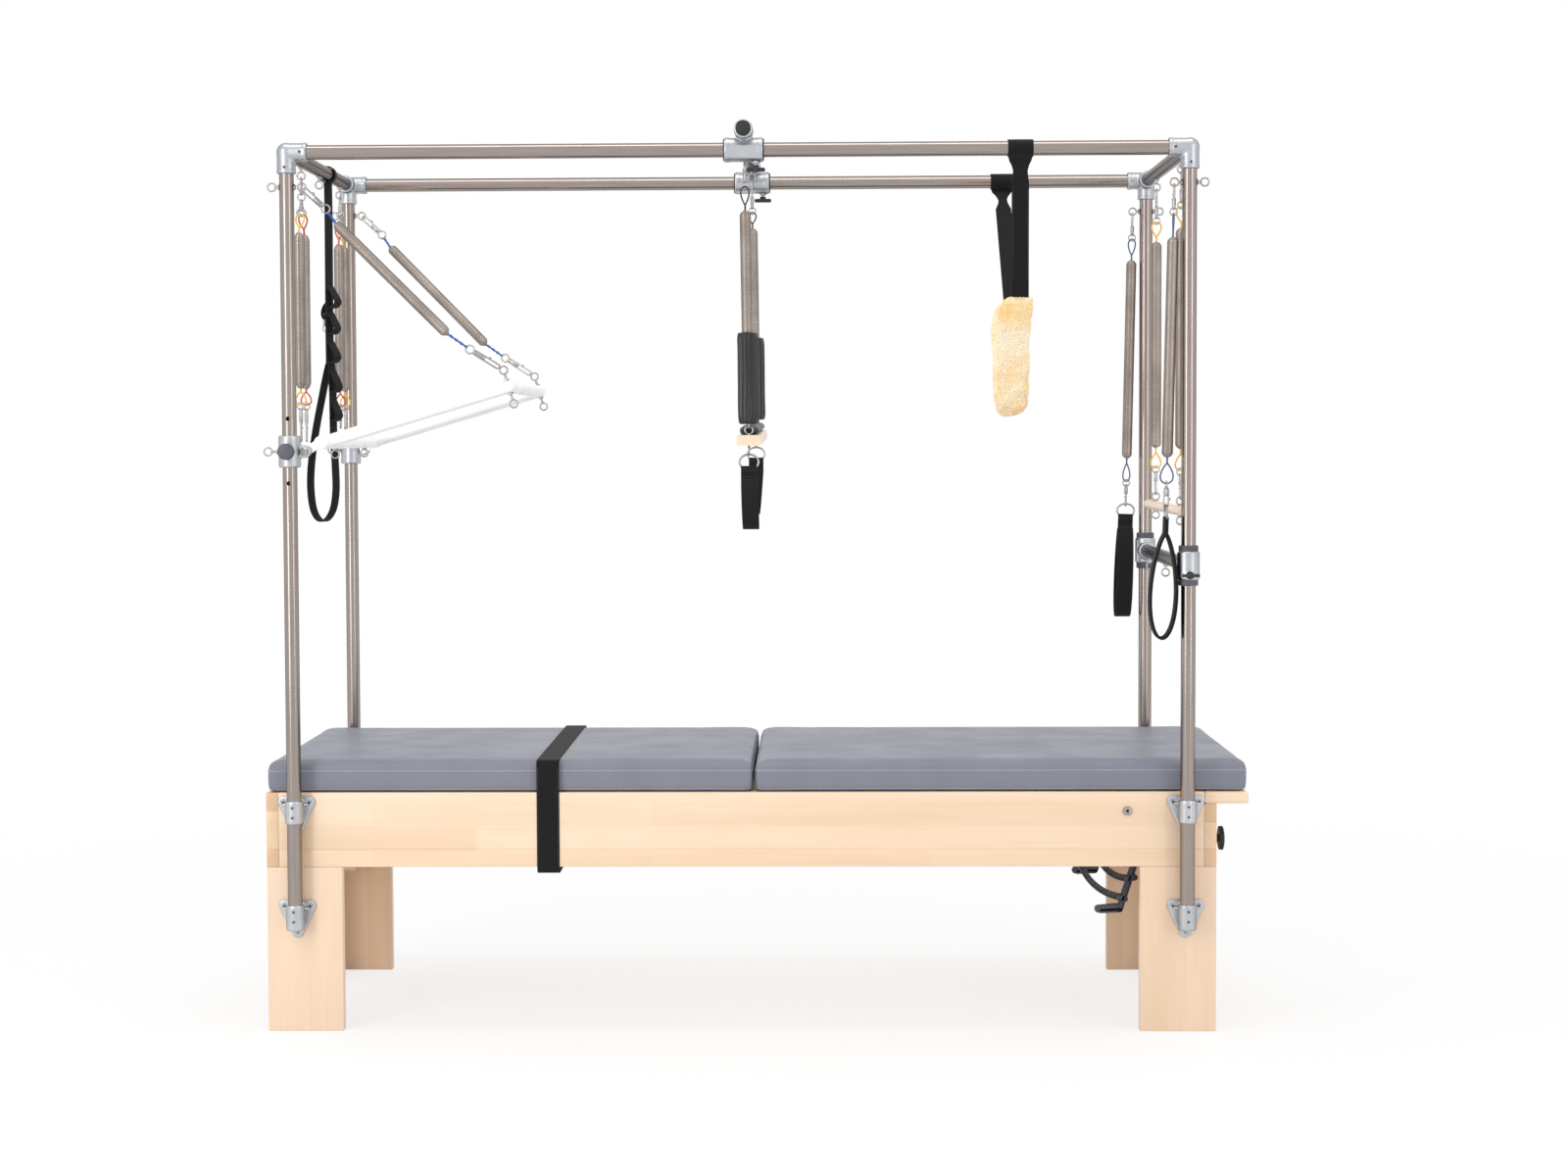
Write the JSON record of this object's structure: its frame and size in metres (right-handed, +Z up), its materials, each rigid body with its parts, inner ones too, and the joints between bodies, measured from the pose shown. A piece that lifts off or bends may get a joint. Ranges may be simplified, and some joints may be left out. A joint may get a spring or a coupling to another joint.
{
  "type": "pilates trapeze table",
  "caption": "Padded wooden table under a frame of steel tubes, hung with springs, a swinging push bar, a trapeze, loops and a sling.",
  "frame": {"origin": "on the floor, under the middle of the overall length and width", "axes": "+Z up, +X from the head end towards the foot end, +Y from the front towards the rear"},
  "size_m": [2.1744, 0.862, 2.006],
  "materials": {
    "maple": "clear satin lacquer over pale straight-grained boards",
    "pad_vinyl": "grey upholstery vinyl with a fine grain, satin",
    "webbing": "black woven webbing",
    "fleece": "cream fleece",
    "stainless": "brushed along the tube",
    "cast_aluminium": "satin castings with bright edges",
    "bright_aluminium": "bright satin",
    "spring_wire": "close-wound bright spring wire",
    "plated_wire": "bright plated",
    "black_plastic": "matt moulded",
    "grey_plastic": "smooth satin"
  },
  "bodies": {
    "table": {"side_rail_front": "maple", "side_rail_rear": "maple", "end_rail_head": "maple", "end_rail_foot": "maple", "deck": "maple", "leg_front_head": "maple", "leg_rear_head": "maple", "leg_front_foot": "maple", "leg_rear_foot": "maple", "pad_head": "pad_vinyl", "pad_foot": "pad_vinyl", "mat_strap": "webbing", "post_front_head": "stainless", "flange_front_head": "cast_aluminium", "corner_front_head": "cast_aluminium", "post_rear_head": "stainless", "flange_rear_head": "cast_aluminium", "corner_rear_head": "cast_aluminium", "post_front_foot": "stainless", "flange_front_foot": "cast_aluminium", "corner_front_foot": "cast_aluminium", "post_rear_foot": "stainless", "flange_rear_foot": "cast_aluminium", "corner_rear_foot": "cast_aluminium", "top_rail_front": "stainless", "top_rail_rear": "stainless", "cross_tube_head": "stainless", "cross_tube_foot": "stainless", "push_bar_collar_front": "cast_aluminium", "quadrant_bracket_front": "black_plastic", "push_bar_collar_rear": "cast_aluminium", "quadrant_bracket_rear": "black_plastic"},
    "plunger_front": {"plunger_front": "grey_plastic"},
    "plunger_rear": {"plunger_rear": "grey_plastic"},
    "push_through_bar": {"push_through_bar": "bright_aluminium"},
    "push_bar_spring_front": {"push_bar_spring_front": "spring_wire"},
    "push_bar_hook_front": {"push_bar_hook_front": "plated_wire"},
    "push_bar_spring_rear": {"push_bar_spring_rear": "spring_wire"},
    "push_bar_hook_rear": {"push_bar_hook_rear": "plated_wire"},
    "crossbar_carriage": {"crossbar_carriage": "cast_aluminium"},
    "carriage_screw_front": {"carriage_screw_front": "black_plastic"},
    "carriage_screw_rear": {"carriage_screw_rear": "black_plastic"},
    "trapeze_springs": {"trapeze_spring_front": "spring_wire", "trapeze_spring_rear": "spring_wire"},
    "trapeze_bar": {"trapeze_bar": "maple"},
    "roll_back_bar": {"roll_back_bar": "cast_aluminium"},
    "roll_back_lever_front": {"roll_back_lever_front": "black_plastic"},
    "foot_spring_front": {"foot_spring_front": "spring_wire"},
    "foot_loop_front": {"foot_loop_front": "webbing"},
    "roll_back_lever_rear": {"roll_back_lever_rear": "black_plastic"},
    "foot_spring_rear": {"foot_spring_rear": "spring_wire"},
    "foot_loop_rear": {"foot_loop_rear": "webbing"},
    "roll_down_springs": {"roll_down_spring_front": "spring_wire", "roll_down_spring_rear": "spring_wire"},
    "roll_down_bar": {"roll_down_bar": "maple"},
    "stored_springs_front": {"stored_springs_front": "spring_wire"},
    "stored_springs_rear": {"stored_springs_rear": "spring_wire"},
    "sling": {"sling": "fleece"},
    "long_strap": {"long_strap": "webbing"},
    "end_knob": {"end_knob": "black_plastic"}
  },
  "joints": [
    {"name": "plunger_front_pull", "type": "slide", "parent": "table", "child": "plunger_front", "axis": [0, -1, 0], "range_m": [0, 0.01], "stiffness_N_per_m": 800, "springref_m": -0.004},
    {"name": "plunger_rear_pull", "type": "slide", "parent": "table", "child": "plunger_rear", "axis": [0, 1, 0], "range_m": [0, 0.01], "stiffness_N_per_m": 800, "springref_m": -0.004},
    {"name": "push_bar_swing", "type": "hinge", "parent": "table", "child": "push_through_bar", "pos_m": [-0.98525, 0, 1.29], "axis": [0, 1, 0], "range_deg": [0, 45], "stiffness_Nm_per_rad": 40, "springref_deg": -22.92},
    {"name": "push_bar_spring_front_swing", "type": "hinge", "parent": "table", "child": "push_bar_spring_front", "pos_m": [-0.98575, -0.378, 1.867], "axis": [0, 1, 0], "range_deg": [0, 18]},
    {"name": "push_bar_spring_front_stretch", "type": "slide", "parent": "push_bar_spring_front", "child": "push_bar_hook_front", "axis": [0.7341, 0, -0.6791], "range_m": [0, 0.285], "deforming": ["push_bar_spring_front"]},
    {"name": "push_bar_spring_rear_swing", "type": "hinge", "parent": "table", "child": "push_bar_spring_rear", "pos_m": [-0.98575, 0.378, 1.867], "axis": [0, 1, 0], "range_deg": [0, 18]},
    {"name": "push_bar_spring_rear_stretch", "type": "slide", "parent": "push_bar_spring_rear", "child": "push_bar_hook_rear", "axis": [0.7341, 0, -0.6791], "range_m": [0, 0.285], "deforming": ["push_bar_spring_rear"]},
    {"name": "carriage_slide", "type": "slide", "parent": "table", "child": "crossbar_carriage", "axis": [1, 0, 0], "range_m": [-0.4, 0.48]},
    {"name": "carriage_screw_front_turn", "type": "hinge", "parent": "crossbar_carriage", "child": "carriage_screw_front", "pos_m": [0.00655, -0.378, 1.9], "axis": [0, 0, 1], "range_deg": [0, 120]},
    {"name": "carriage_screw_rear_turn", "type": "hinge", "parent": "crossbar_carriage", "child": "carriage_screw_rear", "pos_m": [0.00655, 0.378, 1.9], "axis": [0, 0, 1], "range_deg": [0, 120]},
    {"name": "trapeze_swing", "type": "hinge", "parent": "crossbar_carriage", "child": "trapeze_springs", "pos_m": [-0.01975, 0, 1.9505], "axis": [0, 1, 0], "range_deg": [-25, 25]},
    {"name": "trapeze_stretch", "type": "slide", "parent": "trapeze_springs", "child": "trapeze_bar", "axis": [0, 0, -1], "range_m": [0, 0.25], "stiffness_N_per_m": 600, "springref_m": -0.05, "deforming": ["trapeze_spring_front", "trapeze_spring_rear"]},
    {"name": "roll_back_slide", "type": "slide", "parent": "table", "child": "roll_back_bar", "axis": [0, 0, 1], "range_m": [-0.37, 0.05]},
    {"name": "roll_back_lever_front_turn", "type": "hinge", "parent": "roll_back_bar", "child": "roll_back_lever_front", "pos_m": [0.94825, -0.41, 1.014], "axis": [0, -1, 0], "range_deg": [0, 120]},
    {"name": "roll_back_lever_rear_turn", "type": "hinge", "parent": "roll_back_bar", "child": "roll_back_lever_rear", "pos_m": [0.94825, 0.41, 1.014], "axis": [0, 1, 0], "range_deg": [0, 120]},
    {"name": "foot_spring_front_swing", "type": "hinge", "parent": "table", "child": "foot_spring_front", "pos_m": [0.91525, -0.378, 1.867], "axis": [0, 1, 0], "range_deg": [0, 25]},
    {"name": "foot_spring_front_stretch", "type": "slide", "parent": "foot_spring_front", "child": "foot_loop_front", "axis": [0, 0, -1], "range_m": [0, 0.25], "stiffness_N_per_m": 400, "springref_m": -0.02, "deforming": ["foot_spring_front"]},
    {"name": "foot_spring_rear_swing", "type": "hinge", "parent": "table", "child": "foot_spring_rear", "pos_m": [0.91525, 0.378, 1.867], "axis": [0, 1, 0], "range_deg": [0, 25]},
    {"name": "foot_spring_rear_stretch", "type": "slide", "parent": "foot_spring_rear", "child": "foot_loop_rear", "axis": [0, 0, -1], "range_m": [0, 0.25], "stiffness_N_per_m": 400, "springref_m": -0.02, "deforming": ["foot_spring_rear"]},
    {"name": "roll_down_swing", "type": "hinge", "parent": "table", "child": "roll_down_springs", "pos_m": [0.94825, 0, 1.9075], "axis": [0, 1, 0], "range_deg": [-25, 25]},
    {"name": "roll_down_stretch", "type": "slide", "parent": "roll_down_springs", "child": "roll_down_bar", "axis": [0, 0, -1], "range_m": [0, 0.06], "stiffness_N_per_m": 500, "springref_m": -0.02, "deforming": ["roll_down_spring_front", "roll_down_spring_rear"]},
    {"name": "stored_springs_front_swing", "type": "hinge", "parent": "table", "child": "stored_springs_front", "pos_m": [-1.01875, -0.214, 1.9075], "axis": [0, 1, 0], "range_deg": [0, 25]},
    {"name": "stored_springs_rear_swing", "type": "hinge", "parent": "table", "child": "stored_springs_rear", "pos_m": [-1.01875, 0.262, 1.9075], "axis": [0, 1, 0], "range_deg": [0, 25]},
    {"name": "sling_slide", "type": "slide", "parent": "table", "child": "sling", "axis": [1, 0, 0], "range_m": [-0.03, 0.2]},
    {"name": "long_strap_swing", "type": "hinge", "parent": "table", "child": "long_strap", "pos_m": [-1.01875, 0.111, 1.942], "axis": [0, 1, 0], "range_deg": [0, 20]},
    {"name": "end_knob_turn", "type": "hinge", "parent": "table", "child": "end_knob", "pos_m": [1.03575, -0.2, 0.408], "axis": [1, 0, 0], "continuous": true}
  ],
  "couplings": [
    {"joint": "push_bar_spring_front_swing", "follows": "push_bar_swing", "ratio": 0.3899},
    {"joint": "push_bar_spring_front_stretch", "follows": "push_bar_swing", "m_per_rad": 0.3596},
    {"joint": "push_bar_spring_rear_swing", "follows": "push_bar_swing", "ratio": 0.3899},
    {"joint": "push_bar_spring_rear_stretch", "follows": "push_bar_swing", "m_per_rad": 0.3596}
  ]
}
